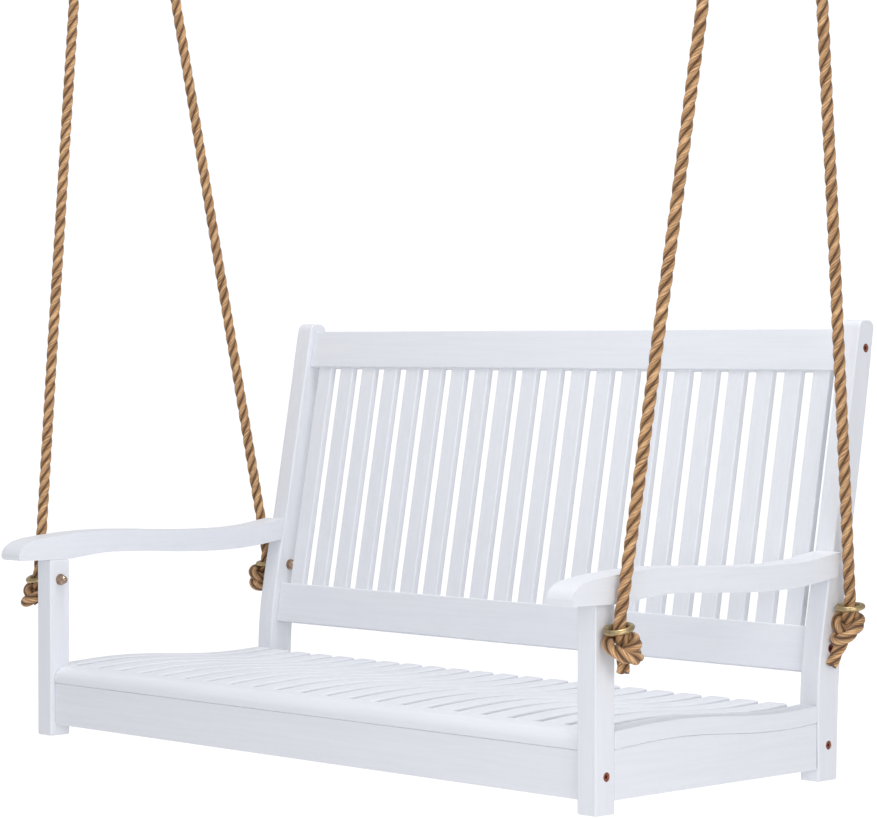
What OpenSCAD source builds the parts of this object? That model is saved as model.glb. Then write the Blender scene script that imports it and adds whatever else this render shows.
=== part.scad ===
// Hanging porch swing: a slatted two-seat bench hung by four ropes from four ceiling hooks.
// The origin is on the ceiling, at the centre of the four hook studs. Front is -Y.
// The bench itself is drawn above a level just over its feet and then hung by place().

/* [Bench frame] */
// Width over the outer faces of the legs
bench_w = 1220; // [1200:10:1300]
// Width of a leg, along X
leg_w = 34; // [32:1:38]
// Depth of a front leg, along Y
leg_d = 38; // [36:1:42]
// Height of the front legs, up to the underside of the armrests
leg_h = 277; // [268:1:284]
// Thickness of the front and rear rails
rail_t = 25; // [22:1:26]
// Height of the lower edges of the front, rear and side rails
rail_z = 13; // [8:1:25]
// How far the feet reach below the level that heights are counted from
foot = 5; // [2:1:8]
// Height of the upper edge of the front and rear rails
rail_top = 80; // [76:1:80]

/* [Seat] */
// Thickness of the seat boards
seat_t = 25; // [20:1:28]
// Half the height between the crest and the hollow of the seat
seat_wave = 5; // [2:0.5:8]
// Width of a seat slat
seat_slat_w = 38; // [30:1:42]
// Distance from slat to slat, in the seat and in the back
slat_pitch = 54; // [52:0.5:54.5]
// Number of slats in the seat and in the back
slat_count = 21; // [19:1:21]

/* [Back] */
// Width of a back slat
back_slat_w = 32; // [24:1:38]
// Thickness of a back slat
back_slat_t = 12; // [9:1:14]
// Thickness of the two back rails
back_rail_t = 24; // [20:1:26]
// How far the back rails stand behind the front edge of the back legs
back_inset = 9; // [5:1:12]

/* [Armrests] */
// Width of an armrest
arm_w = 47; // [42:1:47]
// How far an armrest reaches out past the outer face of the legs
arm_out = 14; // [8:1:14]

/* [Ropes] */
// Diameter of the ropes
rope_d = 17; // [14:1:17]
// Inner diameter of the eye of an eye bolt
eye_in = 27; // [25:1:29]
// Diameter of the rod of an eye bolt
eye_rod = 8; // [6:1:8]
// How far the front eyes are turned on their bolts, front edge down
eye_tilt_front = 15; // [0:1:18]
// How far the back eyes are turned on their bolts, front edge down
eye_tilt_back = 7; // [0:1:12]

/* [Ceiling hooks] */
// Diameter of the rod of a hook
hook_rod = 9; // [8:1:10]
// Radius of the middle of a hook's bend
hook_r = 22; // [22:1:26]
// Diameter of the stud that goes up into the ceiling
stud_d = 10; // [8:1:12]
// Length of that stud above the ceiling face
stud_len = 60; // [40:5:80]

/* [Hidden] */
$fn = 48;

function slat_name(i) = str("back_slat_", i < 10 ? "0" : "", i);

LEFT = -1;
RIGHT = 1;
FRONT = -1;
BACK = 1;

paint = [0.93, 0.94, 0.96];
rope_tan = [0.69, 0.48, 0.26];
brass = [0.80, 0.62, 0.28];
copper = [0.72, 0.40, 0.24];
steel = [0.62, 0.63, 0.65];

half_w = bench_w / 2;
inner_x = half_w - leg_w;

// Where the bench hangs: depth of its front face and height of its feet in the part's frame
ceiling_h = 1410;
bench_y = -248;

// Pivots of the ropes: the bottoms of the hooks and the eyes of the bench
hook_x = half_w + 94;
hook_y = 88;
hook_z = -65;
eye_x = half_w + 23;
eye_z = 245;
eye_y_front = 20;
eye_y_back = 511;

// Routes of the right-hand ropes, from the splice down into the knot: X from the outer face of the
// legs, Y and Z in the part's frame
rope_route_front = [[90, -97, -136], [85, -105, -200], [72, -131, -400], [60, -156, -600],
                    [47, -182, -800], [34, -207, -1000], [23, -228, -1165], [22, -231, -1185]];
rope_route_back = [[90, 99, -136], [85, 109, -200], [72, 141, -400], [60, 173, -600],
                   [47, 205, -800], [34, 237, -1000], [23, 263, -1165], [22, 266, -1185]];
rope_rings = 18;
rope_sides = 12;

seat_back_y = 462;
rail_mid_z = (rail_z + rail_top) / 2;
front_rail_y = 9;
rear_rail_y = 479;
eye_ring_r = (eye_in + eye_rod) / 2;
bolt_r = 3;
bolt_head_r = 6.5;
splice_r = 30;
splice_drop = splice_r - rope_d / 2 - 2 - hook_rod / 2 - 0.4;

// ---- outlines -------------------------------------------------------------------------------

// Points along a smooth curve through the given points, with steps points to each span
function curve(p, steps) = concat(
    [for (i = [0:len(p) - 2], s = [0:steps - 1]) let (
        t = s / steps,
        a = p[max(i - 1, 0)], b = p[i], c = p[i + 1], d = p[min(i + 2, len(p) - 1)])
        0.5 * (2 * b + (c - a) * t + (2 * a - 5 * b + 4 * c - d) * t * t
               + (3 * b - a - 3 * c + d) * t * t * t)],
    [p[len(p) - 1]]);

// Points along an arc in degrees
function arc(centre, r, from, to, n = 6) =
    [for (i = [0:n]) let (a = from + (to - from) * i / n) centre + r * [cos(a), sin(a)]];

// Underside of the seat boards, which is also the upper edge of the side rails
function wave_z(y) = 82 + seat_wave * cos(180 * (y - 163) / 220);

function wave(y0, y1, rise, step = 14) = let (n = ceil((y1 - y0) / step))
    [for (i = [0:n]) let (y = y0 + (y1 - y0) * i / n) [y, wave_z(y) + rise]];

// Front and back edges of a back leg, from the foot up
back_leg_front = [[469, 0], [467.5, 60], [467, 110], [472, 175], [486, 255], [502, 330],
                  [524, 450], [546, 570], [557, 632]];
back_leg_back = [[511, 0], [513, 80], [517, 155], [528, 255], [542, 335], [563, 450],
                 [583, 570], [592, 632]];

// Depth of the front edge of a back leg at height z
function back_face_y(z) = lookup(z, [for (p = curve(back_leg_front, 4)) [p[1], p[0]]]);

// Where the side rails and the seat's end boards stop, just clear of the back legs
side_end_y = min([for (p = curve(back_leg_front, 4)) p[0]]) - 0.3;

// Depth of the plane of the back at height z: the back legs' front edges on their straight part
function back_front_y(z) = 524 + (z - 450) * 22 / 120;
rake = atan(22 / 120);

function reversed(p) = [for (i = [len(p) - 1:-1:0]) p[i]];

// An outline of depth and height, drawn out along X from x0 to x1
module across(x0, x1, outline) {
    translate([x0, 0, 0])
        multmatrix([[0, 0, 1, 0], [1, 0, 0, 0], [0, 1, 0, 0], [0, 0, 0, 1]])
            linear_extrude(height = x1 - x0) polygon(outline);
}

// A round hole or rod along X
module along_x(x0, x1, y, z, r) {
    translate([x0, y, z]) rotate([0, 90, 0]) cylinder(h = x1 - x0, r = r);
}

// Hangs the bench, drawn on its feet, in the part's frame
module place() {
    translate([0, bench_y, -ceiling_h]) children();
}

// One side of the bench: the shape is drawn on the right
module on_side(side) {
    if (side == RIGHT) children();
    else mirror([1, 0, 0]) children();
}

// ---- ceiling --------------------------------------------------------------------------------

module at_hooks() {
    for (side = [LEFT, RIGHT], depth = [FRONT, BACK])
        on_side(side) translate([hook_x, depth * hook_y, 0]) children();
}

module ceiling_hooks() {
    shank_z = hook_z + 2 * hook_r;
    tip = 8;
    color(steel) at_hooks() {
        translate([0, 0, hook_z + hook_r]) {
            rotate([90, 0, 0]) rotate_extrude(angle = -270, $fn = 64)
                translate([hook_r, 0]) circle(r = hook_rod / 2);
            translate([hook_r, 0, 0]) sphere(r = hook_rod / 2);
            translate([0, 0, hook_r]) sphere(r = hook_rod / 2);
        }
        translate([0, 0, shank_z]) cylinder(h = -shank_z, r = hook_rod / 2);
        cylinder(h = stud_len - tip, r = stud_d / 2);
        translate([0, 0, stud_len - tip]) cylinder(h = tip, r1 = stud_d / 2, r2 = 1.5);
    }
}

module ceiling_flanges() {
    color(steel) at_hooks() difference() {
        translate([0, 0, -5]) cylinder(h = 5, r = 24);
        translate([0, 0, -6]) cylinder(h = 7, r = stud_d / 2);
    }
}

// ---- ropes ----------------------------------------------------------------------------------

// A round tube of rings swept along a route
module tube(route, r, rings, sides) {
    path = curve(route, 8);
    last = len(path) - 1;
    picked = [for (i = [0:rings - 1]) path[round(last * i / (rings - 1))]];
    points = [for (i = [0:rings - 1]) let (
        a = picked[max(i - 1, 0)], b = picked[min(i + 1, rings - 1)],
        d = (b - a) / norm(b - a),
        u = cross(d, [0, 1, 0]) / norm(cross(d, [0, 1, 0])), v = cross(d, u))
        for (k = [0:sides - 1]) let (turn = 360 * k / sides)
            picked[i] + r * (cos(turn) * u + sin(turn) * v)];
    polyhedron(points, concat(
        [[for (k = [0:sides - 1]) k]],
        [for (i = [0:rings - 2], k = [0:sides - 1]) let (m = (k + 1) % sides)
            [i * sides + k, (i + 1) * sides + k, (i + 1) * sides + m, i * sides + m]],
        [[for (k = [sides - 1:-1:0]) (rings - 1) * sides + k]]));
}

module rope(side, route) {
    color(rope_tan) on_side(side) translate([half_w, 0, 0])
        tube(route, rope_d / 2, rope_rings, rope_sides);
}

// A knot under an eye, turned with it, with a tail hanging straight down
module knot(side, eye_y, tilt, tail) {
    color(rope_tan) on_side(side) place() translate([eye_x + 2, eye_y, eye_z]) {
        rotate([tilt, 0, 0]) translate([1, 0, -28]) scale([23, 31, 24]) sphere(r = 1, $fn = 32);
        translate([0, 0, -tail]) cylinder(h = tail - 27, r = rope_d / 2, $fn = 24);
    }
}

// The rope's end taken round a thimble and spliced back into itself, down to the route's start
module splice(side, depth, route) {
    loop = [hook_x, depth * hook_y, hook_z - splice_drop];
    down = [0, 0, -splice_r];
    start = [half_w, 0, 0] + route[0] - loop;
    color(rope_tan) on_side(side) translate(loop) {
        rotate([0, 90, 0]) rotate_extrude($fn = 64) translate([splice_r, 0]) circle(r = rope_d / 2);
        translate(start) along(down - start)
            cylinder(h = norm(down - start), r1 = rope_d / 2, r2 = rope_d / 2 + 4);
    }
}

// Turns +Z to the given direction
module along(v) {
    rotate([0, acos(v[2] / norm(v)), atan2(v[1], v[0])]) children();
}

// A round thimble: a channel that the rope's loop lies in
module thimble() {
    groove = rope_d / 2 + 0.3;
    rotate([0, 90, 0]) rotate_extrude($fn = 64) polygon(concat(
        arc([splice_r, 0], groove + 1.7, 110, 250, 10),
        arc([splice_r, 0], groove, 250, 110, 10)));
}

module thimbles(depth) {
    color(steel) for (side = [LEFT, RIGHT])
        on_side(side) translate([hook_x, depth * hook_y, hook_z - splice_drop]) thimble();
}

// ---- bench frame ----------------------------------------------------------------------------

module front_leg(side) {
    color(paint) on_side(side) place() difference() {
        translate([inner_x, 0, -foot]) cube([leg_w, leg_d, leg_h + foot]);
        along_x(inner_x - 1, half_w + 1, eye_y_front, eye_z, eye_rod / 2);
        bolt_hole(front_bolt);
    }
}

module back_leg(side) {
    outline = concat(
        curve(back_leg_back, 4),
        arc([581.5, 644], 13, -10, 95),
        arc([572, 645], 12, 95, 170),
        reversed(curve(back_leg_front, 4)),
        [[back_leg_front[0][0], -foot], [back_leg_back[0][0], -foot]]);
    color(paint) on_side(side) place() difference() {
        across(inner_x, half_w, outline);
        along_x(inner_x - 1, half_w + 1, eye_y_back, eye_z, eye_rod / 2);
        for (p = back_bolts) bolt_hole(p);
    }
}

// Places of the bolts through the legs into the ends of the rails: depth and height
front_bolt = [front_rail_y + rail_t / 2, rail_mid_z];
back_bolts = [[rear_rail_y + rail_t / 2, rail_mid_z],
              [back_rail_mid(185)[0], 185],
              [back_rail_mid(616)[0], 616]];

function back_rail_mid(z) = [back_front_y(z) + back_inset + back_rail_t / 2, z];

// The hole for a bolt through a leg, with the recess for its head in the outer face
module bolt_hole(p) {
    along_x(inner_x - 1, half_w + 1, p[0], p[1], bolt_r);
    along_x(half_w - 7, half_w + 1, p[0], p[1], bolt_head_r);
}

module side_rail(side) {
    color(paint) on_side(side) place()
        across(half_w - 28, half_w - 1, concat(
            [[leg_d, rail_z], [side_end_y, rail_z]],
            reversed(wave(leg_d, side_end_y, 0))));
}

// The outline's heights are counted from the top of the front leg
module armrest(side) {
    under = [[44, 0], [95, 6], [135, 7.5], [200, 5.5], [270, 1.5], [340, -0.5], [400, 1], [445, 5]];
    top = [[440, 38.5], [395, 35.3], [345, 35], [275, 36.5], [205, 40.3], [130, 43], [70, 42],
           [20, 38.5], [-20, 34.5]];
    nose = [[-20, 34.5], [-42, 29], [-56, 20], [-61, 10]];
    back_end = [for (rise = [12, 47]) [back_face_y(leg_h + rise) - 0.2, rise]];
    outline = concat(
        [[-46, 1], [0, 0]],
        curve(under, 3), back_end, curve(top, 3), curve(nose, 4),
        arc([-54, 8], 7, 170, 265, 5));
    color(paint) on_side(side) place() translate([0, 0, leg_h])
        across(half_w + arm_out - arm_w, half_w + arm_out, outline);
}

module front_rail() {
    color(paint) place() difference() {
        translate([-inner_x, front_rail_y, rail_z]) cube([2 * inner_x, rail_t, rail_top - rail_z]);
        rail_end_holes(front_rail_y + rail_t / 2, rail_mid_z);
    }
}

module rear_rail() {
    color(paint) place() difference() {
        translate([-inner_x, rear_rail_y, rail_z]) cube([2 * inner_x, rail_t, rail_top - rail_z]);
        rail_end_holes(rear_rail_y + rail_t / 2, rail_mid_z);
    }
}

// The holes in the ends of a rail: one for the bolt, and a cross hole for its barrel nut
bolt_reach = 52;
barrel_x = inner_x - 36;
barrel_r = 5;
barrel_len = 16;

module rail_end_holes(y, z) {
    for (side = [LEFT, RIGHT]) on_side(side) {
        along_x(inner_x - bolt_reach, inner_x + 1, y, z, bolt_r);
        translate([barrel_x, y - barrel_len / 2, z]) rotate([-90, 0, 0]) cylinder(h = 40, r = barrel_r);
    }
}

module seat_bearer_front() {
    color(paint) place() across(-inner_x, inner_x, concat(
        [[front_rail_y + rail_t, 50], [60, 50]], reversed(wave(45, 60, 0, 5)),
        [[45, rail_top], [front_rail_y + rail_t, rail_top]]));
}

module seat_bearer_rear() {
    color(paint) place() across(-inner_x, inner_x, concat(
        [[442, 46], [rear_rail_y, 46], [rear_rail_y, wave_z(seat_back_y) - 2],
         [seat_back_y, wave_z(seat_back_y) - 2]],
        reversed(wave(442, seat_back_y, 0, 5))));
}

module seat_nosing() {
    nose = 21;
    top_front = wave_z(32) + seat_t;
    color(paint) place() across(-inner_x, inner_x, concat(
        [[7, rail_top], [45, rail_top]],
        reversed(wave(32, 45, seat_t, 5)),
        arc([7 + nose, top_front - nose - 0.4], nose, 90, 180, 10)));
}

module seat_board(x, w, y0, y1) {
    across(x - w / 2, x + w / 2, concat(wave(y0, y1, 0), reversed(wave(y0, y1, seat_t))));
}

module seat_slats() {
    color(paint) place() for (i = [0:slat_count - 1])
        seat_board((i - (slat_count - 1) / 2) * slat_pitch, seat_slat_w, 45, seat_back_y);
}

module seat_end(side) {
    color(paint) on_side(side) place()
        seat_board(half_w - leg_w / 2, leg_w, leg_d, side_end_y);
}

// ---- back -----------------------------------------------------------------------------------

// A shape drawn in the plane of the back: x across, z up the slope, y into it
module in_back(z) {
    translate([0, back_front_y(z), z]) rotate([-rake, 0, 0]) children();
}

top_rail_z0 = 585;
top_rail_h = 62;
lower_rail_z0 = 152;
lower_rail_h = 66;
slat_sink = 10;

module back_rail(z0, h) {
    difference() {
        in_back(z0) translate([-inner_x, back_inset, 0]) cube([2 * inner_x, back_rail_t, h]);
        for (i = [1:slat_count]) back_slat_solid(i);
        rail_end_holes(back_rail_mid(z0 + h / 2)[0], z0 + h / 2);
    }
}

module back_top_rail() {
    color(paint) place() back_rail(top_rail_z0, top_rail_h);
}

module back_lower_rail() {
    color(paint) place() back_rail(lower_rail_z0, lower_rail_h);
}

module back_slat_solid(i) {
    length = (top_rail_z0 - lower_rail_z0) / cos(rake) - lower_rail_h + 2 * slat_sink;
    in_back(lower_rail_z0)
        translate([(i - (slat_count + 1) / 2) * slat_pitch - back_slat_w / 2,
                   back_inset + 3, lower_rail_h - slat_sink])
            cube([back_slat_w, back_slat_t, length]);
}

module back_slat(i) {
    color(paint) place() back_slat_solid(i);
}

// ---- hardware -------------------------------------------------------------------------------

// The places of the eye bolts: $tilt is how far each one is turned
module at_eyes() {
    for (side = [LEFT, RIGHT], eye = [[eye_y_front, eye_tilt_front], [eye_y_back, eye_tilt_back]]) {
        $tilt = eye[1];
        on_side(side) translate([0, eye[0], eye_z]) children();
    }
}

module eye_bolts() {
    color(brass) place() at_eyes() rotate([$tilt, 0, 0]) {
        translate([eye_x, 0, 0]) rotate_extrude($fn = 64)
            translate([eye_ring_r, 0]) circle(r = eye_rod / 2);
        along_x(inner_x - 9, eye_x - eye_ring_r, 0, 0, eye_rod / 2);
    }
}

module eye_bolt_washers() {
    color(brass) place() at_eyes() difference() {
        along_x(inner_x - 1.6, inner_x, 0, 0, 9);
        along_x(inner_x - 3, inner_x + 1, 0, 0, eye_rod / 2);
    }
}

module dome_nuts() {
    color(copper) place() at_eyes() difference() {
        union() {
            translate([inner_x - 8.1, 0, 0]) rotate([0, 90, 0]) cylinder(h = 6.5, r = 7.4, $fn = 6);
            translate([inner_x - 8.1, 0, 0]) rotate([0, -90, 0]) rotate_extrude($fn = 48)
                polygon(concat([[0, 0]], arc([0, 0], 6.4, 0, 90, 8)));
        }
        along_x(inner_x - 9, inner_x, 0, 0, eye_rod / 2);
    }
}

// A socket-head bolt through a leg into the end of a rail
module frame_bolt(y, z) {
    difference() {
        union() {
            along_x(half_w - 7, half_w - 1, y, z, bolt_head_r);
            along_x(inner_x - bolt_reach + 4, half_w - 7, y, z, bolt_r);
        }
        translate([half_w - 4, y, z]) rotate([0, 90, 0]) cylinder(h = 5, r = 2.9, $fn = 6);
    }
}

module frame_bolts() {
    color(copper) place() for (side = [LEFT, RIGHT], p = concat([front_bolt], back_bolts))
        on_side(side) frame_bolt(p[0], p[1]);
}

module barrel_nuts() {
    color(steel) place() for (side = [LEFT, RIGHT], p = concat([front_bolt], back_bolts))
        on_side(side) difference() {
            translate([barrel_x, p[0] - barrel_len / 2, p[1]]) rotate([-90, 0, 0])
                cylinder(h = barrel_len, r = barrel_r);
            along_x(barrel_x - 8, barrel_x + 8, p[0], p[1], bolt_r);
        }
}

// ---- nodes ----------------------------------------------------------------------------------

ceiling_hooks();
ceiling_flanges();
thimbles(FRONT);  // thimbles_front
thimbles(BACK);  // thimbles_back
rope(LEFT, rope_route_front);  // rope_front_left
rope(RIGHT, rope_route_front);  // rope_front_right
rope(LEFT, rope_route_back);  // rope_back_left
rope(RIGHT, rope_route_back);  // rope_back_right
knot(LEFT, eye_y_front, eye_tilt_front, 66);  // knot_front_left
knot(RIGHT, eye_y_front, eye_tilt_front, 66);  // knot_front_right
knot(LEFT, eye_y_back, eye_tilt_back, 92);  // knot_back_left
knot(RIGHT, eye_y_back, eye_tilt_back, 92);  // knot_back_right
splice(LEFT, FRONT, rope_route_front);  // splice_front_left
splice(RIGHT, FRONT, rope_route_front);  // splice_front_right
splice(LEFT, BACK, rope_route_back);  // splice_back_left
splice(RIGHT, BACK, rope_route_back);  // splice_back_right
front_leg(LEFT);  // front_leg_left
front_leg(RIGHT);  // front_leg_right
back_leg(LEFT);  // back_leg_left
back_leg(RIGHT);  // back_leg_right
armrest(LEFT);  // armrest_left
armrest(RIGHT);  // armrest_right
side_rail(LEFT);  // side_rail_left
side_rail(RIGHT);  // side_rail_right
front_rail();
rear_rail();
seat_bearer_front();
seat_bearer_rear();
back_top_rail();
back_lower_rail();
seat_nosing();
seat_slats();
seat_end(LEFT);  // seat_end_left
seat_end(RIGHT);  // seat_end_right
eye_bolts();
eye_bolt_washers();
dome_nuts();
frame_bolts();
barrel_nuts();
for (i = [1:slat_count]) back_slat(i);
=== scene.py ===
"""Looks of a hanging porch swing: the camera, light, finishes and finished pieces over the fixed frame."""

import logging
import math
from dataclasses import dataclass, field
from enum import Enum

import bmesh
import bpy
import numpy as np
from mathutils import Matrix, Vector


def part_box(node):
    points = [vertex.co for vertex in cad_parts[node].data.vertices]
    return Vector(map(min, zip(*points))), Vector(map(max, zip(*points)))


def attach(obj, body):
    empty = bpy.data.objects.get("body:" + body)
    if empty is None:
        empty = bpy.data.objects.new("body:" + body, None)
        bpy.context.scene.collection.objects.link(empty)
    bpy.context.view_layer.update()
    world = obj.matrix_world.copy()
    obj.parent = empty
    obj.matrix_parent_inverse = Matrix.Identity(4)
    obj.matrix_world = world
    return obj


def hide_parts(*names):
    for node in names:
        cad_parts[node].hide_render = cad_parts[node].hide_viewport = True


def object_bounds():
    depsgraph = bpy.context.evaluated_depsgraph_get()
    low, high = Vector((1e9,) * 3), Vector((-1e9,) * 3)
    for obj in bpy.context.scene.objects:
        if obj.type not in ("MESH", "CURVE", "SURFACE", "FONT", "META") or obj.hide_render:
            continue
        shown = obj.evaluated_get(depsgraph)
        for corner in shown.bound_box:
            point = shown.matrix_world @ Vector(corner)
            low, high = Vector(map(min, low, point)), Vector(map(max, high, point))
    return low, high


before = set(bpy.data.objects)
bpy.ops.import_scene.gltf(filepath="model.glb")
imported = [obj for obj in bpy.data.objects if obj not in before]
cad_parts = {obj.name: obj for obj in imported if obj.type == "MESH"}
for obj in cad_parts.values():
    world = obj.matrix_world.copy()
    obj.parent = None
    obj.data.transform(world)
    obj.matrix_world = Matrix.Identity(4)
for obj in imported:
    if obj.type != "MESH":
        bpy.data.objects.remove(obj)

LOG = logging.getLogger("porch_swing")
MM = 0.001
ROPE_STEP = 2.6 * MM
CAD_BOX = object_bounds()


class Side(Enum):
    """The two ends of the bench, by the sign of X."""

    LEFT = -1
    RIGHT = 1


class Depth(Enum):
    """The front and back ropes, by the sign of Y at their hooks."""

    FRONT = -1
    BACK = 1


class Grain(Enum):
    """The way the grain runs in a board: the number of times it is stretched along X, Y and Z."""

    ACROSS = (0.045, 1.0, 1.0)
    DEEP = (1.0, 0.045, 1.0)
    UPRIGHT = (1.0, 1.0, 0.045)


def node_name(stem: str, side: Side) -> str:
    """The frame's name for a piece on one side."""
    return f"{stem}_{side.name.lower()}"


# ---- shader parts -----------------------------------------------------------------------------


class Shader:
    """A small builder for the nodes of one material or node group."""

    def __init__(self, tree: bpy.types.NodeTree) -> None:
        """Keeps the tree that the nodes go into."""
        self.tree = tree

    def node(self, kind: str, **settings: object) -> bpy.types.Node:
        """Adds a node.

        Args:
            kind: the node's class, without the ShaderNode in front.
            settings: attributes of the node by name.

        Returns:
            The new node.
        """
        made = self.tree.nodes.new("ShaderNode" + kind)
        for name, value in settings.items():
            setattr(made, name, value)
        return made

    def put(self, socket: bpy.types.NodeSocket, value: object) -> None:
        """Links another socket into this one, or sets its plain value."""
        if isinstance(value, bpy.types.NodeSocket):
            self.tree.links.new(value, socket)
        else:
            socket.default_value = value

    def math(self, operation: str, a: object, b: object = 0.0) -> bpy.types.NodeSocket:
        """A Math node's result on two values."""
        made = self.node("Math", operation=operation)
        self.put(made.inputs[0], a)
        self.put(made.inputs[1], b)
        return made.outputs[0]

    def times(self, a: object, b: object) -> bpy.types.NodeSocket:
        """The product of two values."""
        return self.math("MULTIPLY", a, b)

    def plus(self, a: object, b: object) -> bpy.types.NodeSocket:
        """The sum of two values."""
        return self.math("ADD", a, b)

    def ramp(self, value: object, stops: list[tuple[float, float]]) -> bpy.types.NodeSocket:
        """A value mapped through a grey ramp.

        Args:
            value: the socket that is mapped.
            stops: pairs of place and grey level.

        Returns:
            The mapped value.
        """
        made = self.node("ValToRGB")
        for i, (place, grey) in enumerate(stops):
            stop = made.color_ramp.elements[i] if i < 2 else made.color_ramp.elements.new(place)
            stop.position = place
            stop.color = (grey, grey, grey, 1)
        self.put(made.inputs["Fac"], value)
        return made.outputs["Color"]

    def mix(self, factor: object, a: object, b: object) -> bpy.types.NodeSocket:
        """Two colours mixed by a factor."""
        made = self.node("Mix", data_type="RGBA")
        self.put(made.inputs["Factor"], factor)
        self.put(made.inputs["A"], a)
        self.put(made.inputs["B"], b)
        return made.outputs["Result"]

    def noise(self, vector: object, scale: object, detail: float, rough: float = 0.5) -> bpy.types.NodeSocket:
        """The value of a noise texture."""
        made = self.node("TexNoise")
        self.put(made.inputs["Vector"], vector)
        self.put(made.inputs["Scale"], scale)
        made.inputs["Detail"].default_value = detail
        made.inputs["Roughness"].default_value = rough
        return made.outputs["Fac"]

    def stretched(self, vector: object, scale: tuple[float, float, float]) -> bpy.types.NodeSocket:
        """Coordinates through a Mapping node."""
        made = self.node("Mapping")
        self.put(made.inputs["Vector"], vector)
        made.inputs["Scale"].default_value = scale
        return made.outputs["Vector"]

    def bump(self, height: object, strength: float, distance: float) -> bpy.types.NodeSocket:
        """A normal from a height."""
        made = self.node("Bump")
        made.inputs["Strength"].default_value = strength
        made.inputs["Distance"].default_value = distance
        self.put(made.inputs["Height"], height)
        return made.outputs["Normal"]


def new_group(name: str, inputs: list[tuple], outputs: list[str]) -> tuple[Shader, dict, dict]:
    """Starts a shader node group.

    Args:
        name: the group's name.
        inputs: triples of name, socket kind and default value.
        outputs: names of the values that it puts out.

    Returns:
        Its builder, its input sockets by name and its output node's sockets by name.
    """
    tree = bpy.data.node_groups.new(name, "ShaderNodeTree")
    for label, kind, default in inputs:
        socket = tree.interface.new_socket(label, in_out="INPUT", socket_type="NodeSocket" + kind)
        if default is not None:
            socket.default_value = default
    for label in outputs:
        tree.interface.new_socket(label, in_out="OUTPUT", socket_type="NodeSocketFloat")
    made = Shader(tree)
    entry = tree.nodes.new("NodeGroupInput")
    leave = tree.nodes.new("NodeGroupOutput")
    return made, {s.name: s for s in entry.outputs if s.name}, {s.name: s for s in leave.inputs if s.name}


def grain_group() -> bpy.types.NodeTree:
    """Wood grain under paint: long streaks, pores and a slow change from board to board."""
    shader, given, out = new_group(
        "wood grain", [("Vector", "Vector", None), ("Streaks", "Float", 90.0)], ["Streak", "Pores", "Cloud"])
    streak = shader.noise(given["Vector"], given["Streaks"], 3.0, 0.55)
    pores = shader.noise(given["Vector"], shader.times(given["Streaks"], 7.0), 2.0, 0.6)
    cloud = shader.noise(given["Vector"], shader.times(given["Streaks"], 0.12), 2.0, 0.5)
    shader.put(out["Streak"], streak)
    shader.put(out["Pores"], shader.ramp(pores, [(0.30, 0.0), (0.46, 1.0)]))
    shader.put(out["Cloud"], cloud)
    return shader.tree


def handling_group() -> bpy.types.NodeTree:
    """Soft smudges and fine scratches that handling leaves on a finish."""
    shader, given, out = new_group(
        "handling marks", [("Vector", "Vector", None), ("Scale", "Float", 30.0)], ["Smudge", "Scratch"])
    smudge = shader.noise(given["Vector"], given["Scale"], 4.0, 0.6)
    along = shader.stretched(given["Vector"], (1.0, 6.0, 1.0))
    scratch = shader.noise(along, shader.times(given["Scale"], 14.0), 1.0)
    shader.put(out["Smudge"], shader.ramp(smudge, [(0.35, 0.0), (0.70, 1.0)]))
    shader.put(out["Scratch"], shader.ramp(scratch, [(0.48, 0.0), (0.62, 1.0)]))
    return shader.tree


GRAIN = grain_group()
HANDLING = handling_group()


def start_material(name: str) -> tuple[Shader, bpy.types.Node]:
    """Starts a material.

    Args:
        name: the material's name.

    Returns:
        Its builder and its Principled BSDF.
    """
    made = bpy.data.materials.new(name)
    made.use_nodes = True
    made.node_tree.nodes.clear()
    shader = Shader(made.node_tree)
    surface = shader.node("BsdfPrincipled")
    leave = shader.node("OutputMaterial")
    shader.put(leave.inputs["Surface"], surface.outputs["BSDF"])
    return shader, surface


def placed_group(shader: Shader, tree: bpy.types.NodeTree, **given: object) -> bpy.types.Node:
    """Places a node group in a material and sets its inputs by name."""
    made = shader.node("Group")
    made.node_tree = tree
    for name, value in given.items():
        shader.put(made.inputs[name], value)
    return made


# ---- finishes ---------------------------------------------------------------------------------


@dataclass(frozen=True)
class Paint:
    """Satin white paint on hardwood, with the grain telegraphing through it."""

    name: str
    grain: Grain
    colour: tuple[float, float, float] = (0.80, 0.815, 0.85)
    shade: tuple[float, float, float] = (0.74, 0.757, 0.80)
    roughness: float = 0.42

    def material(self) -> bpy.types.Material:
        """Builds the material."""
        shader, surface = start_material(self.name)
        place = shader.node("TexCoord").outputs["Object"]
        along = shader.stretched(place, self.grain.value)
        wood = placed_group(shader, GRAIN, Vector=along, Streaks=150.0)
        marks = placed_group(shader, HANDLING, Vector=place, Scale=9.0)
        streak = shader.ramp(wood.outputs["Streak"], [(0.36, 0.0), (0.66, 1.0)])
        tone = shader.times(streak, 0.42)
        tone = shader.plus(tone, shader.times(wood.outputs["Cloud"], 0.5))
        base = shader.mix(tone, (*self.colour, 1), (*self.shade, 1))
        faint = shader.times(shader.math("SUBTRACT", 1.0, wood.outputs["Pores"]), 0.07)
        base = shader.mix(faint, base, (0.52, 0.50, 0.48, 1))
        shader.put(surface.inputs["Base Color"], base)
        rough = shader.times(marks.outputs["Smudge"], 0.10)
        rough = shader.plus(rough, self.roughness)
        rough = shader.plus(rough, shader.times(streak, 0.05))
        shader.put(surface.inputs["Roughness"], rough)
        height = shader.plus(wood.outputs["Streak"], shader.times(wood.outputs["Pores"], 0.35))
        shader.put(surface.inputs["Normal"], shader.bump(height, 0.22, 0.0006))
        surface.inputs["Coat Weight"].default_value = 0.12
        surface.inputs["Coat Roughness"].default_value = 0.28
        return bpy.data.materials[self.name]


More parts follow.
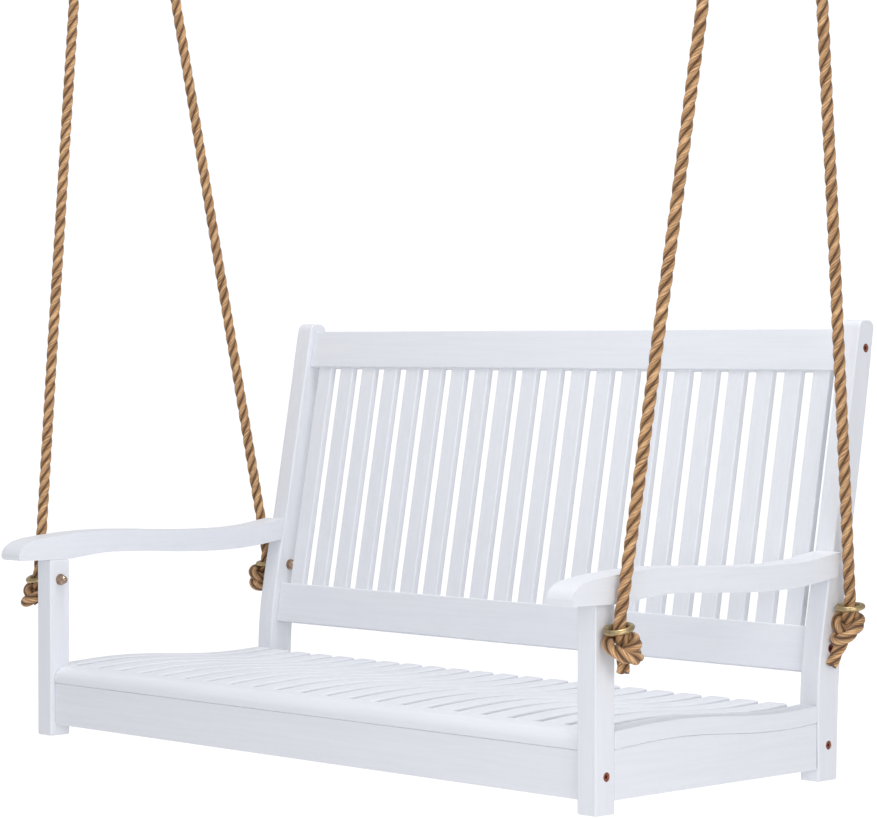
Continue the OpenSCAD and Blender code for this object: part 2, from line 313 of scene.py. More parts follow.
@dataclass(frozen=True)
class Fibre:
    """Laid natural fibre, drawn along the strand by the piece's own UV map, with painted shade in the grooves
    between strands.
    """

    name: str
    light: tuple[float, float, float] = (0.82, 0.50, 0.245)
    middle: tuple[float, float, float] = (0.25, 0.112, 0.036)
    # The darkest colour is painted shade for the grooves between the strands
    painted_groove_shade_colour: tuple[float, float, float] = (0.085, 0.032, 0.008)

    def material(self) -> bpy.types.Material:
        """Builds the material."""
        shader, surface = start_material(self.name)
        uv = shader.node("UVMap", uv_map="strand").outputs["UV"]
        parts = shader.node("SeparateXYZ")
        shader.put(parts.inputs["Vector"], uv)
        around, along = parts.outputs["X"], parts.outputs["Y"]
        # Yarns run round the strand against the lay
        turned = shader.node("CombineXYZ")
        yarn_place = shader.math("SUBTRACT", around, shader.times(along, 13.0))
        shader.put(turned.inputs["X"], yarn_place)
        shader.put(turned.inputs["Y"], shader.times(along, 9.0))
        hairs = shader.noise(shader.stretched(turned.outputs["Vector"], (46.0, 1.0, 1.0)), 1.0, 3.0, 0.65)
        yarns = shader.math("SINE", shader.times(yarn_place, 2 * math.pi * 7))
        yarns = shader.plus(shader.times(yarns, 0.5), 0.5)
        drift = shader.noise(shader.stretched(turned.outputs["Vector"], (0.6, 3.2, 1.0)), 1.0, 2.0)
        # The strand's outer line has u at 0 and 1, and its inner line 0.5; towards the inner line the colour
        # is darkened as painted shade in the grooves between strands
        outer = shader.math("COSINE", shader.times(around, 2 * math.pi))
        painted_groove_shade = shader.ramp(outer, [(0.10, 1.0), (0.55, 0.52), (0.95, 0.0)])
        clumps = shader.noise(shader.stretched(turned.outputs["Vector"], (11.0, 5.0, 1.0)), 1.0, 1.0, 0.5)
        tone = shader.plus(shader.times(hairs, 0.55), shader.times(clumps, 0.85))
        tone = shader.plus(tone, shader.times(drift, 0.30))
        tone = shader.math("SUBTRACT", tone, shader.times(yarns, 0.14))
        tone = shader.ramp(tone, [(0.58, 0.0), (0.98, 1.0)])
        base = shader.mix(tone, (*self.middle, 1), (*self.light, 1))
        # Painted shade: the colour darkens towards the grooves between the strands
        base = shader.mix(shader.times(painted_groove_shade, 0.92), base, (*self.painted_groove_shade_colour, 1))
        shader.put(surface.inputs["Base Color"], base)
        shader.put(surface.inputs["Roughness"], shader.plus(shader.times(hairs, 0.25), 0.52))
        height = shader.plus(shader.times(hairs, 0.8), shader.times(yarns, -0.5))
        shader.put(surface.inputs["Normal"], shader.bump(height, 0.75, 0.0007))
        surface.inputs["Sheen Weight"].default_value = 0.18
        surface.inputs["Sheen Roughness"].default_value = 0.45
        return bpy.data.materials[self.name]


@dataclass(frozen=True)
class Plating:
    """Plated steel, with smudges, fine scratches and duller, darker patches that are partly wear and partly
    painted dark reflection.
    """

    name: str
    colour: tuple[float, float, float]
    wear_and_dark_reflection: tuple[float, float, float]
    roughness: float
    scale: float = 180.0

    def material(self) -> bpy.types.Material:
        """Builds the material."""
        shader, surface = start_material(self.name)
        place = shader.node("TexCoord").outputs["Object"]
        marks = placed_group(shader, HANDLING, Vector=place, Scale=self.scale)
        # Darker patches in the colour: partly wear, partly painted dark reflection where the metal would
        # mirror darker surroundings
        wear_and_dark_reflection = shader.times(marks.outputs["Smudge"], 0.8)
        shader.put(surface.inputs["Base Color"], shader.mix(wear_and_dark_reflection, (*self.colour, 1), (*self.wear_and_dark_reflection, 1)))
        rough = shader.plus(shader.times(marks.outputs["Smudge"], 0.22), self.roughness)
        rough = shader.plus(rough, shader.times(marks.outputs["Scratch"], 0.08))
        shader.put(surface.inputs["Roughness"], rough)
        shader.put(surface.inputs["Normal"], shader.bump(marks.outputs["Scratch"], 0.12, 0.0002))
        surface.inputs["Metallic"].default_value = 1.0
        return bpy.data.materials[self.name]


# ---- modelling --------------------------------------------------------------------------------


def take(piece: bpy.types.Object) -> None:
    """Makes a piece the only one selected, and the active one."""
    bpy.ops.object.select_all(action="DESELECT")
    piece.select_set(True)
    bpy.context.view_layer.objects.active = piece


def apply_modifiers(piece: bpy.types.Object) -> None:
    """Applies all of a piece's modifiers."""
    take(piece)
    for modifier in list(piece.modifiers):
        bpy.ops.object.modifier_apply(modifier=modifier.name)


def finish_place(piece: bpy.types.Object) -> None:
    """Moves a piece's place, turn and scale into its mesh."""
    take(piece)
    bpy.ops.object.transform_apply(location=True, rotation=True, scale=True)


def smooth(piece: bpy.types.Object, degrees: float) -> None:
    """Shades a piece smooth except at edges sharper than the given angle."""
    take(piece)
    bpy.ops.object.shade_smooth_by_angle(angle=math.radians(degrees))


def joined(name: str, parts: list[bpy.types.Object]) -> bpy.types.Object:
    """Joins parts into one piece.

    Args:
        name: the piece's name.
        parts: its parts, the first of which the others are joined to.

    Returns:
        The joined piece.
    """
    take(parts[0])
    for part in parts[1:]:
        part.select_set(True)
    bpy.ops.object.join()
    parts[0].name = name
    return parts[0]


def dress(piece: bpy.types.Object, finish: bpy.types.Material) -> None:
    """Gives a piece or a frame node one material all over."""
    piece.data.materials.clear()
    piece.data.materials.append(finish)


def settle(piece: bpy.types.Object, body: str, replaced: list[str]) -> None:
    """Hangs a finished piece on the body that it moves with, and hides the frame's nodes that it stands for.

    Args:
        piece: the finished piece.
        body: the frame's body that it moves with.
        replaced: names of the frame's nodes that it replaces.
    """
    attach(piece, body)
    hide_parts(*replaced)
    LOG.info("%s: %d faces on %s", piece.name, len(piece.data.polygons), body)


def mesh_piece(name: str, points: np.ndarray, faces: list, uv: np.ndarray) -> bpy.types.Object:
    """Makes a piece from points and faces.

    Args:
        name: the piece's name.
        points: the points, in metres.
        faces: lists of point numbers.
        uv: one pair for each face corner, in the order of the faces, for a map named strand.

    Returns:
        The piece, shaded smooth.
    """
    mesh = bpy.data.meshes.new(name)
    mesh.from_pydata(points.tolist(), [], faces)
    mesh.uv_layers.new(name="strand").data.foreach_set("uv", uv.astype(np.float32).ravel())
    mesh.polygons.foreach_set("use_smooth", [True] * len(mesh.polygons))
    mesh.update()
    piece = bpy.data.objects.new(name, mesh)
    bpy.context.scene.collection.objects.link(piece)
    return piece


@dataclass(frozen=True)
class Board:
    """A painted board: a frame node with its edges eased."""

    node: str
    finish: Paint
    ease: float
    shortest: float = 2.6 * MM
    sharp_angle: float = math.radians(35)

    def build(self) -> bpy.types.Object:
        """Copies the node's mesh, merges it and rounds its edges."""
        piece = bpy.data.objects.new(f"{self.node}_board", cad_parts[self.node].data.copy())
        bpy.context.scene.collection.objects.link(piece)
        take(piece)
        bpy.ops.mesh.customdata_custom_splitnormals_clear()
        bpy.ops.object.mode_set(mode="EDIT")
        bpy.ops.mesh.select_all(action="SELECT")
        bpy.ops.mesh.remove_doubles(threshold=0.02 * MM)
        bpy.ops.mesh.dissolve_limited(angle_limit=math.radians(0.15))
        bpy.ops.object.mode_set(mode="OBJECT")
        self.mark_edges(piece)
        bevel = piece.modifiers.new("eased edges", "BEVEL")
        bevel.width = self.ease
        bevel.segments = 4
        bevel.limit_method = "WEIGHT"
        bevel.miter_outer = "MITER_ARC"
        apply_modifiers(piece)
        smooth(piece, 40.0)
        weighted = piece.modifiers.new("flat faces", "WEIGHTED_NORMAL")
        weighted.keep_sharp = True
        apply_modifiers(piece)
        return piece

    def mark_edges(self, piece: bpy.types.Object) -> None:
        """Weights the edges to ease: sharp outward ones that are too long to be a hole's rim."""
        shape = bmesh.new()
        shape.from_mesh(piece.data)
        weight = shape.edges.layers.float.new("bevel_weight_edge")
        for edge in shape.edges:
            sharp = edge.is_manifold and edge.calc_face_angle_signed() > self.sharp_angle
            edge[weight] = 1.0 if sharp and edge.calc_length() > self.shortest else 0.0
        shape.to_mesh(piece.data)
        shape.free()

    def place(self, material: bpy.types.Material) -> None:
        """Builds the board, paints it and hangs it on the bench."""
        piece = self.build()
        dress(piece, material)
        settle(piece, "bench", [self.node])


# ---- rope -------------------------------------------------------------------------------------


def spaced(points: np.ndarray, step: float) -> np.ndarray:
    """The same line with its points an even step apart."""
    lengths = np.linalg.norm(np.diff(points, axis=0), axis=1)
    along = np.concatenate([[0.0], np.cumsum(lengths)])
    at = np.linspace(0.0, along[-1], int(round(along[-1] / step)) + 1)
    return np.stack([np.interp(at, along, points[:, k]) for k in range(3)], axis=1)


def smooth_curve(points: np.ndarray, steps: int = 12) -> np.ndarray:
    """Points along a smooth curve through the given points."""
    padded = np.concatenate([points[:1], points, points[-1:]])
    made = []
    for i in range(len(points) - 1):
        a, b, c, d = padded[i:i + 4]
        for t in np.arange(steps) / steps:
            made.append(0.5 * (2 * b + (c - a) * t + (2 * a - 5 * b + 4 * c - d) * t * t
                               + (3 * b - a - 3 * c + d) * t ** 3))
    return np.array([*made, points[-1]])


def softened(points: np.ndarray, rounds: int) -> np.ndarray:
    """The same line with its corners smoothed, its ends kept."""
    line = points.copy()
    for _ in range(rounds):
        line[1:-1] = line[1:-1] * 0.5 + (line[:-2] + line[2:]) * 0.25
    return line


def directions(line: np.ndarray) -> np.ndarray:
    """The unit direction of a line at each point."""
    ahead = np.gradient(line, axis=0)
    return ahead / np.linalg.norm(ahead, axis=1, keepdims=True)


def carried_frames(line: np.ndarray) -> tuple[np.ndarray, np.ndarray]:
    """Two directions across a line at each point, carried along it without twist."""
    ahead = directions(line)
    first = np.cross(ahead[0], (0.31, 0.95, 0.05))
    across = [first / np.linalg.norm(first)]
    for t in ahead[1:]:
        v = across[-1] - t * (across[-1] @ t)
        across.append(v / np.linalg.norm(v))
    normal = np.array(across)
    return normal, np.cross(ahead, normal)


@dataclass
class Laid:
    """Three strands laid right-handed along a line."""

    radius: float
    lay: float = 68 * MM
    strands: int = 3
    sides: int = 14
    thickness: float = 0.545
    widened: float = 1.07
    parts: list = field(default_factory=list)

    def strand(self, line: np.ndarray, number: int, phase: float, swell: np.ndarray, handed: int = 1) -> None:
        """Adds one strand.

        Args:
            line: the rope's centre line, evenly spaced.
            number: which strand it is.
            phase: the turn of the lay at the line's start.
            swell: the rope's size at each point, 1 where it is full.
            handed: 1 for a right-handed lay.
        """
        normal, other = carried_frames(line)
        along = np.arange(len(line)) * np.linalg.norm(line[1] - line[0])
        turn = phase + handed * 2 * math.pi * along / self.lay + 2 * math.pi * number / self.strands
        out = np.cos(turn)[:, None] * normal + np.sin(turn)[:, None] * other
        thick = self.radius * self.thickness * swell
        centre = line + out * (self.radius * swell - thick)[:, None]
        ahead = directions(centre)
        out = out - ahead * (out * ahead).sum(1, keepdims=True)
        out /= np.linalg.norm(out, axis=1, keepdims=True)
        side = np.cross(ahead, out)
        angle = 2 * math.pi * np.arange(self.sides) / self.sides
        ring = (np.cos(angle)[None, :, None] * out[:, None]
                + self.widened * np.sin(angle)[None, :, None] * side[:, None])
        self.parts.append((centre[:, None] + ring * thick[:, None, None], along, centre[0], centre[-1]))

    def piece(self, name: str) -> bpy.types.Object:
        """Makes one piece of all the strands, with a map of turn and length along each."""
        points, faces, uv, start = [], [], [], 0
        for rings, along, first, last in self.parts:
            count, sides = rings.shape[:2]
            points += [rings.reshape(-1, 3), first[None], last[None]]
            ends = start + count * sides
            for i in range(count - 1):
                for k in range(sides):
                    m = (k + 1) % sides
                    a, b = start + i * sides, start + (i + 1) * sides
                    faces.append((a + k, a + m, b + m, b + k))
                    u, v = k / sides, (k + 1) / sides
                    uv += [(u, along[i]), (v, along[i]), (v, along[i + 1]), (u, along[i + 1])]
            for k in range(sides):
                m = (k + 1) % sides
                faces += [(ends, start + m, start + k), (ends + 1, ends - sides + k, ends - sides + m)]
                uv += [(0.5, along[0]), ((k + 1) / sides, along[0]), (k / sides, along[0])]
                uv += [(0.5, along[-1]), (k / sides, along[-1]), ((k + 1) / sides, along[-1])]
            start = ends + 2
        return mesh_piece(name, np.concatenate(points), faces, np.array(uv))


@dataclass(frozen=True)
class Knot:
    """An overhand knot, drawn up by shrinking a loose one until the rope bears on itself."""

    rope: float = 16.6
    bend: float = 9.5
    step: float = 5.0
    rounds: int = 230
    above: float = 44.0
    below: float = 74.0

    def loose(self) -> np.ndarray:
        """A loose overhand knot about Z, from above to below, in millimetres."""
        t = np.linspace(2.12, -2.12, 300)[:, None]
        return 10.5 * np.hstack([t ** 3 - 3 * t, t ** 4 - 4 * t ** 2, 0.5 * (t ** 5 - 10 * t)])

    def pushed_apart(self, line: np.ndarray, far: np.ndarray) -> np.ndarray:
        """How far each point moves so that no two turns of rope overlap."""
        gap = line[:, None] - line[None]
        away = np.linalg.norm(gap, axis=2) + 1e-9
        over = np.where(far, np.maximum(self.rope - away, 0.0), 0.0)
        count = np.clip((over > 0).sum(1, keepdims=True), 1.0, 2.0)
        return (gap * (over / away)[:, :, None]).sum(1) * 0.5 / count

    def pulled(self, line: np.ndarray, reach: int, length: float, slack_only: bool) -> np.ndarray:
        """How far each point moves so that points a few apart come to a length."""
        span = line[reach:] - line[:-reach]
        away = np.linalg.norm(span, axis=1, keepdims=True)
        wrong = away - length
        share = (np.minimum(wrong, 0.0) if slack_only else wrong) / away * span * 0.5
        move = np.zeros_like(line)
        move[:-reach] += share
        move[reach:] -= share
        return move

    def drawn(self) -> np.ndarray:
        """The knot drawn tight, from above to below, in millimetres."""
        line = self.loose()
        top, bottom = np.array([0, 0, self.above]), np.array([0, 0, -self.below])
        chord = 2 * self.bend * math.sin(self.step / self.bend)
        shrink = 0.965
        for _ in range(self.rounds):
            line = spaced(line, self.step)
            number = np.arange(len(line))
            far = np.abs(number[:, None] - number) * self.step >= math.pi * self.bend * 0.98
            for _ in range(14):
                for end, inner, target, way in ((0, 1, top, -1), (-1, -2, bottom, 1)):
                    line[end] += (target - line[end]) * 0.1
                    line[inner] += (target + (0, 0, way * self.step) - line[inner]) * 0.1
                move = self.pulled(line, 1, self.step * shrink, False) * 0.9
                move += self.pulled(line, 2, chord * shrink, True) * 0.6
                move[1:-1] += (line[:-2] + line[2:] - 2 * line[1:-1]) * 0.03
                move[[0, -1]] = 0
                line = line + move
                push = self.pushed_apart(line, far)
                push[[0, -1]] = 0
                line = line + push
        return line


@dataclass
class HungRope:
    """One rope: its laid line down to the eye, the knot under the eye, and the splice on its hook."""

    side: Side
    depth: Depth
    route: tuple[tuple[float, float, float], ...]
    knot_turn: float
    knot_scale: tuple[float, float, float]
    tail_below: float
    diameter: float = 17 * MM
    knot_hand: int = 1
    knot_upside: bool = False
    tail_at: tuple[float, float] = (0.0, 0.0)
    knot_gap: float = 2 * MM
    knot_core: float = 5 * MM
    join_gap: float = 12 * MM
    laid_radius: float = 8.85 * MM
    hook_out: float = 94 * MM
    hook_depth: float = 88 * MM
    loop_height: float = -79.6 * MM
    loop_radius: float = 30 * MM
    neck_past: float = 26 * MM

    @property
    def name(self) -> str:
        """The rope's name in the frame."""
        return node_name(f"rope_{self.depth.name.lower()}", self.side)

    @property
    def body(self) -> str:
        """The body that the rope moves with."""
        return f"{self.depth.name.lower()}_ropes"

    def leg_face(self) -> float:
        """Distance of the legs' outer faces from the middle of the bench."""
        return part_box("front_leg_right")[1][0]

    def placed(self, points: np.ndarray) -> np.ndarray:
        """Points given from the right-hand leg's outer face, in the frame on the rope's own side."""
        moved = points + np.array([self.leg_face(), 0.0, 0.0])
        return moved * np.array([self.side.value, 1.0, 1.0])

    def knot_line(self, drawn: np.ndarray, down: np.ndarray) -> np.ndarray:
        """The knot's centre line under the eye.

        Args:
            drawn: the drawn knot about Z, in millimetres.
            down: the rope's direction at the eye.

        Returns:
            The line from above the eye to the tail's cut end, about the eye's centre.
        """
        line = drawn[::-1] * np.array([1, -1, -1]) if self.knot_upside else drawn
        line = line * MM * np.array(self.knot_scale) * np.array([self.knot_hand, 1, 1])
        turns = np.hypot(line[:, 0], line[:, 1]) > self.knot_core
        top = line[turns][:, 2].max() + self.diameter / 2
        line[:, 2] -= top + self.knot_gap
        c, s = math.cos(self.knot_turn), math.sin(self.knot_turn)
        line[:, :2] = line[:, :2] @ np.array([[c, s], [-s, c]])
        last = np.flatnonzero(turns)[-1]
        line = line[(np.arange(len(line)) < last) | (line[:, 2] > -self.tail_below)]
        tail = np.clip(line[last, 2] - line[last:, 2], 0, None)
        line[last:, :2] += tail[:, None] / tail[-1] * (np.array(self.tail_at) - line[-1, :2])
        straight = np.clip((line[:, 2] + self.diameter) / (3 * self.diameter), 0, 1)[:, None]
        return line + straight * (down / down[2] * line[:, 2:3] - np.array([0, 0, 1]) * line[:, 2:3])

    def line(self, drawn: np.ndarray) -> np.ndarray:
        """The rope's whole centre line, from its splice to its cut end."""
        route = smooth_curve(np.array(self.route) * MM)
        eye = np.array(self.route[-2]) * MM
        down = eye - np.array(self.route[-3]) * MM
        knot = self.knot_line(drawn, down / np.linalg.norm(down)) + eye
        above = route[route[:, 2] > knot[0, 2] + self.join_gap]
        line = spaced(softened(spaced(np.concatenate([above, knot]), 3 * MM), 5), ROPE_STEP)
        return self.placed(line)

    def loop_centre(self) -> np.ndarray:
        """The middle of the thimble, counted from the right-hand leg's outer face."""
        return np.array([self.hook_out, self.depth.value * self.hook_depth, self.loop_height])

    def loop_line(self) -> np.ndarray:
        """The rope's end taken round its thimble and back to the neck of the splice."""
        start = np.array(self.route[0]) * MM
        centre = self.loop_centre()
        turn = np.radians(np.arange(-58, 239, 8.0))
        round_thimble = centre + self.loop_radius * np.stack([0 * turn, np.cos(turn), np.sin(turn)], axis=1)
        throat = centre + np.array([0, 0, -1.32 * self.loop_radius])
        neck = throat * 0.35 + start * 0.65
        line = np.concatenate([[start, neck, throat], round_thimble, [throat, neck]])
        return self.placed(spaced(softened(smooth_curve(line, 6), 8), ROPE_STEP))

    def neck_line(self) -> np.ndarray:
        """The middle of the tucked strands, from the throat down past the route's start."""
        start, after = (np.array(p) * MM for p in self.route[:2])
        down = (after - start) / np.linalg.norm(after - start)
        centre = self.loop_centre()
        throat = centre + np.array([0, 0, -1.02 * self.loop_radius])
        line = smooth_curve(np.array([throat, (throat + start) / 2, start, start + down * self.neck_past]), 10)
        return self.placed(spaced(line, ROPE_STEP))

    def splice(self, finish: bpy.types.Material) -> bpy.types.Object:
        """Builds the eye splice: the loop, and the tucked strands tapering down the neck."""
        laid = Laid(self.laid_radius)
        loop = self.loop_line()
        for number in range(laid.strands):
            laid.strand(loop, number, 0.0, np.ones(len(loop)))
        neck = self.neck_line()
        swell = np.interp(np.linspace(0, 1, len(neck)), [0, 0.12, 0.55, 1], [1.30, 1.46, 1.24, 1.0])
        for number in range(laid.strands):
            laid.strand(neck, number, 1.0, swell)
            laid.strand(neck, number, 2.1, swell * 0.985, -1)
        node = self.name.replace("rope", "splice")
        piece = laid.piece(f"{node}_tucked")
        dress(piece, finish)
        settle(piece, self.body, [node])
        return piece

    def place(self, drawn: np.ndarray, finish: bpy.types.Material) -> None:
        line = self.line(drawn)
        laid = Laid(self.laid_radius)
        swell = np.ones(len(line))
        swell[-5:] = np.linspace(1.0, 1.07, 5)
        for number in range(laid.strands):
            laid.strand(line, number, 0.4, swell)
        piece = laid.piece(f"{self.name}_laid")
        dress(piece, finish)
        settle(piece, self.body, [self.name, self.name.replace("rope", "knot")])
        length = float(np.linalg.norm(np.diff(line, axis=0), axis=1).sum())
        self.splice(finish)
        LOG.info("%s: %.3f m of rope", piece.name, length)


@dataclass
class Ropes:
    """The four ropes. The routes start at the splice and end in the knot, in millimetres, with X
    counted from the outer face of the legs on the right-hand side."""

    front_route: tuple[tuple[float, float, float], ...] = (
        (90, -97, -136), (85, -105, -200), (72, -131, -400), (60, -156, -600),
        (47, -182, -800), (34, -207, -1000), (23, -228, -1165), (22, -231, -1185))
    back_route: tuple[tuple[float, float, float], ...] = (
        (90, 99, -136), (85, 109, -200), (72, 141, -400), (60, 173, -600),
        (47, 205, -800), (34, 237, -1000), (23, 263, -1165), (22, 266, -1185))

    def place(self) -> None:
        """Draws the knot once and builds the four ropes with it."""
        finish = Fibre("natural fibre").material()
        # The darker grey is for patches that are partly wear and partly painted dark reflection
        grey, dull_and_dark_reflection = (0.56, 0.57, 0.58), (0.36, 0.37, 0.385)
        steel = Plating("galvanised steel", grey, dull_and_dark_reflection, 0.38, 120.0).material()
        drawn = Knot().drawn()
        wide, tall = (1.20, 1.20, 0.75), (1.05, 1.05, 1.0)
        turns = {
            (Side.RIGHT, Depth.FRONT): dict(
                knot_turn=2.79, knot_scale=wide, tail_below=58 * MM, tail_at=(4 * MM, 4 * MM)),
            (Side.RIGHT, Depth.BACK): dict(
                knot_turn=4.89, knot_hand=-1, knot_scale=tall, tail_below=88 * MM,
                tail_at=(-19 * MM, -19 * MM)),
            (Side.LEFT, Depth.FRONT): dict(
                knot_turn=-1.40, knot_upside=True, knot_scale=wide, tail_below=42 * MM),
            (Side.LEFT, Depth.BACK): dict(
                knot_turn=-2.44, knot_upside=True, knot_scale=wide, tail_below=48 * MM),
        }
        for (side, depth), knot in turns.items():
            route = self.front_route if depth is Depth.FRONT else self.back_route
            HungRope(side, depth, route=route, **knot).place(drawn, finish)
        for depth in Depth:
            dress(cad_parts[f"thimbles_{depth.name.lower()}"], steel)
        for node in ("ceiling_hooks", "ceiling_flanges", "barrel_nuts"):
            dress(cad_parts[node], steel)


# ---- hardware ---------------------------------------------------------------------------------


@dataclass
class Hardware:
    """The bench's metal: eye bolts, washers, acorn nuts and frame bolts."""

    nut_radius: float = 7.4 * MM
    dome_radius: float = 6.4 * MM
    hex_height: float = 6.5 * MM
    washer: float = 1.6 * MM
    skirt: float = 1.1 * MM

    def acorn(self, side: Side, y: float, z: float, face: float) -> bpy.types.Object:
        """Models one acorn nut.

        Args:
            side: the end of the bench that it is on.
            y: its depth.
            z: its height.
            face: distance of the leg's inner face from the middle of the bench.

        Returns:
            The nut.
        """
        quarter = math.pi / 2
        out = side.value
        middle = out * (face - self.washer - self.hex_height / 2)
        bpy.ops.object.select_all(action="DESELECT")
        bpy.ops.mesh.primitive_cylinder_add(vertices=6, radius=self.nut_radius, depth=self.hex_height,
                                            location=(middle, y, z), rotation=(0, quarter, 0))
        hexagon = bpy.context.object
        finish_place(hexagon)
        chamfer = hexagon.modifiers.new("chamfer", "BEVEL")
        chamfer.width, chamfer.segments = 0.7 * MM, 3
        apply_modifiers(hexagon)
        bpy.ops.object.select_all(action="DESELECT")
        bpy.ops.mesh.primitive_cylinder_add(vertices=40, radius=self.nut_radius * 1.12, depth=self.skirt,
                                            location=(out * (face - self.washer - self.skirt / 2), y, z),
                                            rotation=(0, quarter, 0))
        skirt = bpy.context.object
        finish_place(skirt)
        rim = skirt.modifiers.new("rim", "BEVEL")
        rim.width, rim.segments = 0.4 * MM, 2
        apply_modifiers(skirt)
        base = out * (face - self.washer - self.hex_height)
        bpy.ops.object.select_all(action="DESELECT")
        bpy.ops.mesh.primitive_uv_sphere_add(segments=40, ring_count=24, radius=self.dome_radius,
                                             location=(base, y, z), rotation=(0, quarter, 0))
        dome = bpy.context.object
        finish_place(dome)
        bpy.ops.object.mode_set(mode="EDIT")
        bpy.ops.mesh.select_all(action="SELECT")
        bpy.ops.mesh.bisect(plane_co=(base + out * 0.3 * MM, y, z), plane_no=(out, 0, 0), use_fill=True,
                            clear_outer=True)
        bpy.ops.object.mode_set(mode="OBJECT")
        return joined("acorn", [hexagon, skirt, dome])

    def place(self) -> None:
        """Models the acorn nuts, and dresses all the metal."""
        # The second colour of each is for darker patches, partly wear and partly painted dark reflection
        zinc = Plating("yellow zinc", (0.66, 0.50, 0.26), (0.20, 0.155, 0.085), 0.22, 95.0).material()
        copper = Plating("aged copper", (0.50, 0.20, 0.13), (0.20, 0.075, 0.055), 0.32).material()
        bronze = Plating("antique bronze", (0.62, 0.45, 0.34), (0.10, 0.065, 0.05), 0.18, 260.0).material()
        low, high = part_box("dome_nuts")
        z = (low[2] + high[2]) / 2
        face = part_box("eye_bolt_washers")[1][0]
        flat = self.nut_radius * math.cos(math.pi / 6)
        depths = (low[1] + flat, high[1] - flat)
        nuts = [self.acorn(side, y, z, face) for side in Side for y in depths]
        nut = joined("acorn_nuts", nuts)
        smooth(nut, 30)
        dress(nut, bronze)
        settle(nut, "bench", ["dome_nuts"])
        dress(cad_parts["frame_bolts"], copper)
        dress(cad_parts["eye_bolts"], zinc)
        dress(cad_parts["eye_bolt_washers"], bronze)


# ---- wood -------------------------------------------------------------------------------------


@dataclass
class Bench:
    """All the painted boards of the bench, sorted by the way their grain runs."""

    slats: int = 21
    arm_ease: float = 5.0 * MM
    leg_ease: float = 2.6 * MM
    rail_ease: float = 2.0 * MM
    slat_ease: float = 2.2 * MM
    seat_ease: float = 3.2 * MM
    mortised: float = 33 * MM

    def boards(self) -> list[Board]:
        """Every board with its finish and the rounding of its edges."""
        across = Paint("white paint, grain across", Grain.ACROSS)
        deep = Paint("white paint, grain front to back", Grain.DEEP)
        upright = Paint("white paint, grain upright", Grain.UPRIGHT)
        made = []
        for side in Side:
            made.append(Board(node_name("front_leg", side), upright, self.leg_ease))
            made.append(Board(node_name("back_leg", side), upright, self.leg_ease))
            made.append(Board(node_name("armrest", side), deep, self.arm_ease, 1 * MM))
            made.append(Board(node_name("side_rail", side), deep, self.rail_ease))
            made.append(Board(node_name("seat_end", side), deep, self.rail_ease))
        for node in ("front_rail", "rear_rail", "seat_bearer_front", "seat_bearer_rear", "seat_nosing"):
            made.append(Board(node, across, self.rail_ease))
        for node in ("back_top_rail", "back_lower_rail"):
            made.append(Board(node, across, self.rail_ease, self.mortised))
        made.append(Board("seat_slats", deep, self.seat_ease))
        made += [Board(f"back_slat_{i:02d}", upright, self.slat_ease) for i in range(1, self.slats + 1)]
        return made

    def place(self) -> None:
        """Builds and paints the boards, with one material for each way of the grain."""
        materials: dict[str, bpy.types.Material] = {}
        for board in self.boards():
            if board.finish.name not in materials:
                materials[board.finish.name] = board.finish.material()
            board.place(materials[board.finish.name])


# ---- studio -----------------------------------------------------------------------------------


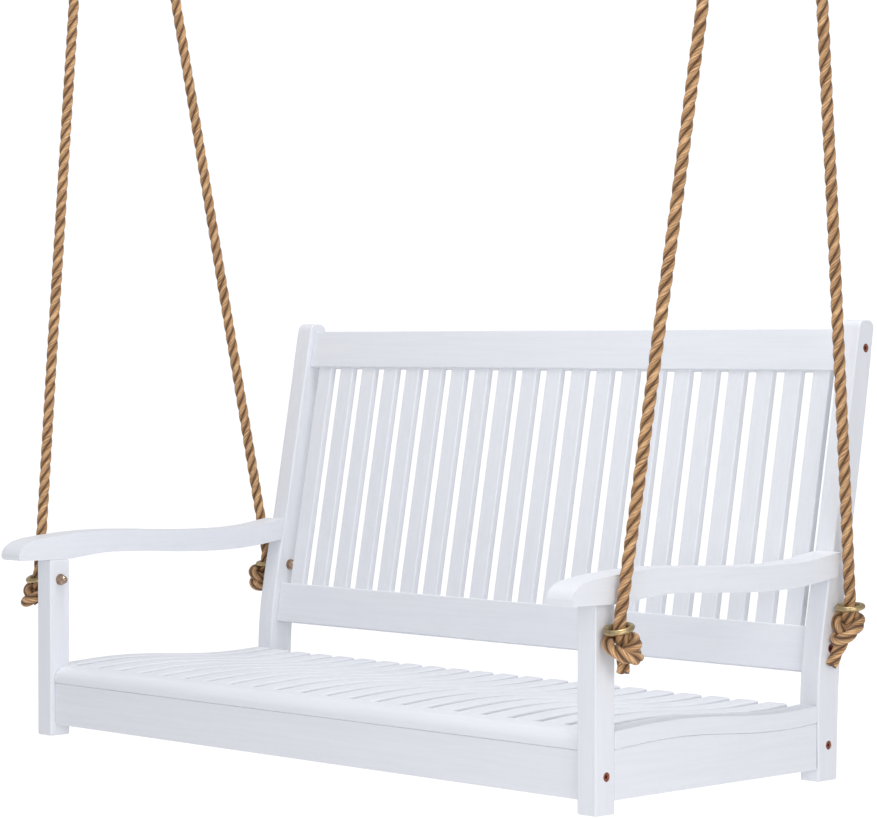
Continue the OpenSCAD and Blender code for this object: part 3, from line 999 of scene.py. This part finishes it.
@dataclass
class Studio:
    """The camera, the soft light and the pale floor."""

    stand: tuple[float, float, float] = (3.3559, -3.2166, -0.794)
    heading: float = math.radians(45.714)
    dip: float = math.radians(1.151)
    lens: float = 125.7
    floor_drop: float = 0.62
    fill: float = 0.53
    floor_glow: float = 0.125
    floor_seen: float = 0.47
    room_seen: float = 1.06
    room_tint: tuple[float, float, float, float] = (0.975, 0.99, 1.03, 1)
    aim: tuple[float, float, float] = (0, 0, -1.0)
    lamps: tuple[tuple[str, tuple[float, float, float], float, float], ...] = (
        ("high front", (1.2, -2.6, 0.6), 11.2, 1.6),
        ("level front", (2.4, -3.4, -0.4), 12.5, 1.4),
        ("overhead", (0.4, -0.2, 1.9), 46.3, 1.2),
        ("right hand", (2.6, -0.9, -0.6), 15.2, 1.2),
    )

    def camera(self) -> None:
        """Stands the camera level with the middle of the back, off the right-hand front corner."""
        data = bpy.data.cameras.new("camera")
        data.lens = self.lens
        data.clip_end = 500
        made = bpy.data.objects.new("camera", data)
        made.location = self.stand
        made.rotation_euler = (math.pi / 2 - self.dip, 0, self.heading)
        bpy.context.scene.collection.objects.link(made)
        bpy.context.scene.camera = made

    def floor(self) -> None:
        """Lays a wide pale floor well below the feet of the hanging bench."""
        bpy.ops.object.select_all(action="DESELECT")
        bpy.ops.mesh.primitive_plane_add(size=300, location=(0, 0, CAD_BOX[0][2] - self.floor_drop))
        made = bpy.context.object
        made.name = "floor"
        finish_place(made)
        shader, surface = start_material("pale floor")
        surface.inputs["Base Color"].default_value = (0.93, 0.93, 0.93, 1)
        surface.inputs["Roughness"].default_value = 0.9
        surface.inputs["Specular IOR Level"].default_value = 0.1
        surface.inputs["Emission Color"].default_value = (1, 1, 1, 1)
        strength = self.white_to_look_at(shader, self.floor_glow, self.floor_seen)
        shader.put(surface.inputs["Emission Strength"], strength)
        dress(made, bpy.data.materials["pale floor"])

    def white_to_look_at(self, shader: Shader, glow: float, more: float) -> bpy.types.NodeSocket:
        """A strength that lights the bench softly, and is more where it is looked at directly."""
        seen = shader.node("LightPath").outputs["Is Camera Ray"]
        return shader.plus(glow, shader.times(seen, more))

    def lamp(self, name: str, place: tuple[float, float, float], power: float, size: float) -> None:
        """Hangs a square soft light that faces the bench.

        Args:
            name: the light's name.
            place: where it hangs, in metres.
            power: its power in watts.
            size: the length of its sides in metres.
        """
        data = bpy.data.lights.new(name, "AREA")
        data.energy, data.size = power, size
        made = bpy.data.objects.new(name, data)
        made.location = place
        made.rotation_euler = (Vector(self.aim) - Vector(place)).to_track_quat("-Z", "Y").to_euler()
        made.visible_camera = False
        bpy.context.scene.collection.objects.link(made)

    def room(self) -> None:
        """Makes the room: white walls to look at, and a softer light from them on the bench."""
        world = bpy.data.worlds.new("soft white room")
        world.use_nodes = True
        shader = Shader(world.node_tree)
        background = world.node_tree.nodes["Background"]
        strength = self.white_to_look_at(shader, self.fill, self.room_seen - self.fill)
        shader.put(background.inputs["Strength"], strength)
        background.inputs["Color"].default_value = self.room_tint
        bpy.context.scene.world = world

    def place(self) -> None:
        """Sets up the whole studio."""
        bpy.context.scene.view_settings.view_transform = "Standard"
        self.room()
        for name, place, power, size in self.lamps:
            self.lamp(name, place, power, size)
        self.floor()
        self.camera()


def main() -> None:
    """Builds the studio, the ropes, the bench and its hardware."""
    logging.basicConfig(level=logging.INFO, format="%(name)s: %(message)s")
    Studio().place()
    Ropes().place()
    Bench().place()
    Hardware().place()


if __name__ == "__main__":
    main()
